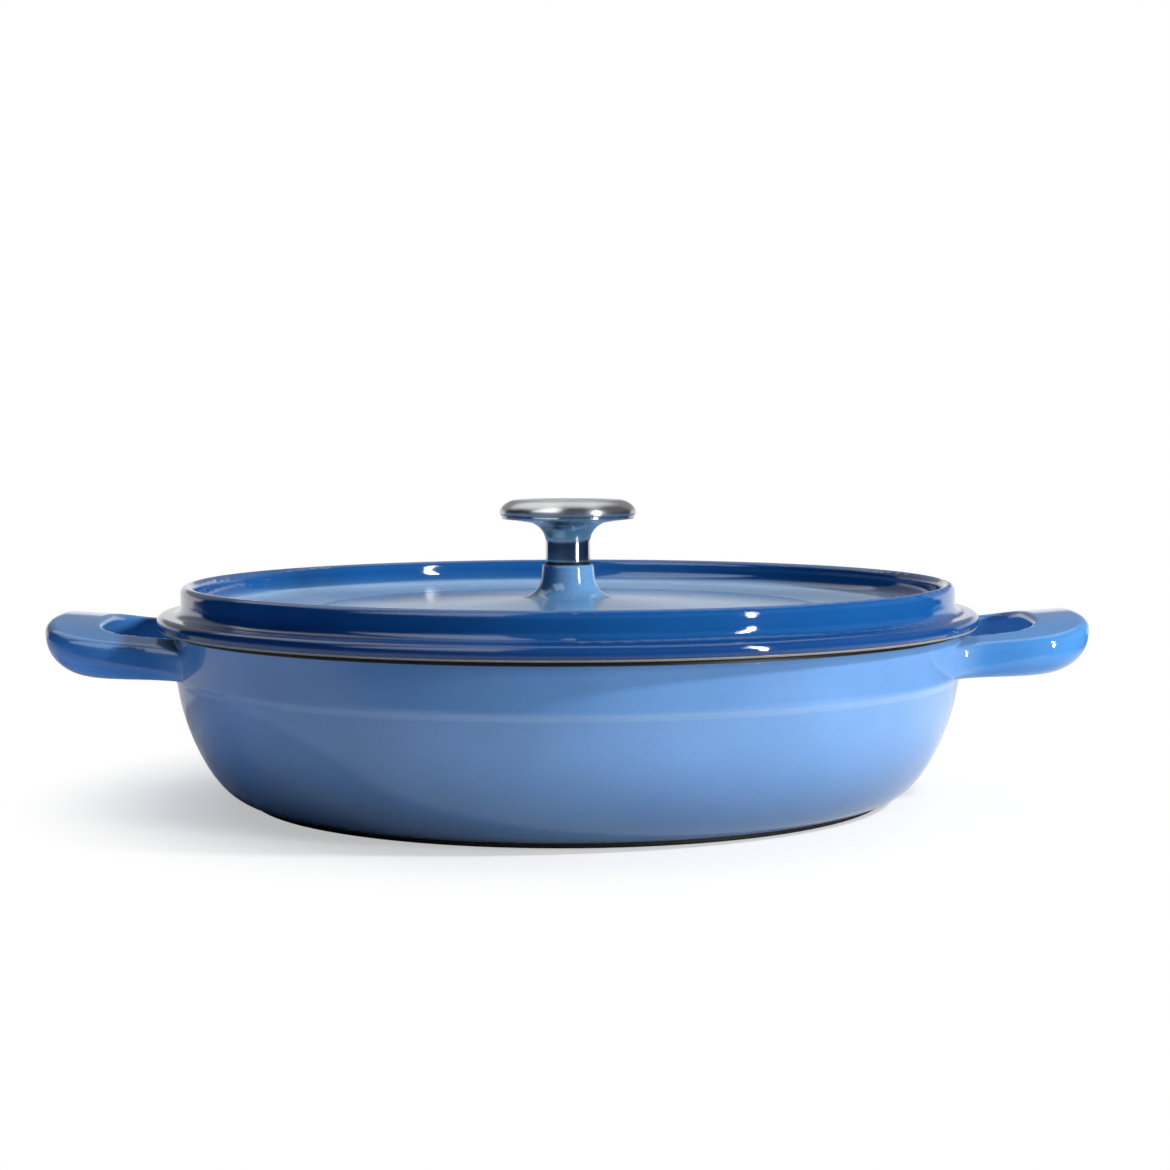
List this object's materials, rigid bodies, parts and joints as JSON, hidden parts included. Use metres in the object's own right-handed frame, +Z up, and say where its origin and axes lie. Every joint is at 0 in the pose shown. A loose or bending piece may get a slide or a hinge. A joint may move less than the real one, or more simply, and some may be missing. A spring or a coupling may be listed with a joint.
{
  "type": "braiser",
  "caption": "Shallow round enamelled cast-iron braiser with loop handles and a lift-off lid that has an upturned ring and a steel knob.",
  "frame": {"origin": "on the table, under the middle of the pan", "axes": "+Z up through the knob, +X along the line of the two handles, +Y away from the picture's viewer"},
  "size_m": [0.3934, 0.312, 0.1133],
  "materials": {
    "pan_enamel": "gloss",
    "lid_enamel": "gloss",
    "brushed_cap": "satin",
    "polished_stem": "polished",
    "insert_steel": "satin",
    "screw_steel": "satin",
    "spring_steel": "satin",
    "washer_steel": "satin",
    "seal_silicone": "matte",
    "gasket_silicone": "matte"
  },
  "bodies": {
    "pan": {"pan": "pan_enamel"},
    "lid": {"lid": "lid_enamel", "knob_cap": "brushed_cap", "knob_body": "polished_stem", "knob_insert": "insert_steel", "knob_screw": "screw_steel", "spring_washer": "spring_steel", "flat_washer": "washer_steel", "seal_washer": "seal_silicone", "knob_gasket": "gasket_silicone"}
  },
  "joints": [
    {"name": "lid_lift", "type": "slide", "parent": "pan", "child": "lid", "axis": [0, 0, 1], "range_m": [0, 0.16]}
  ]
}
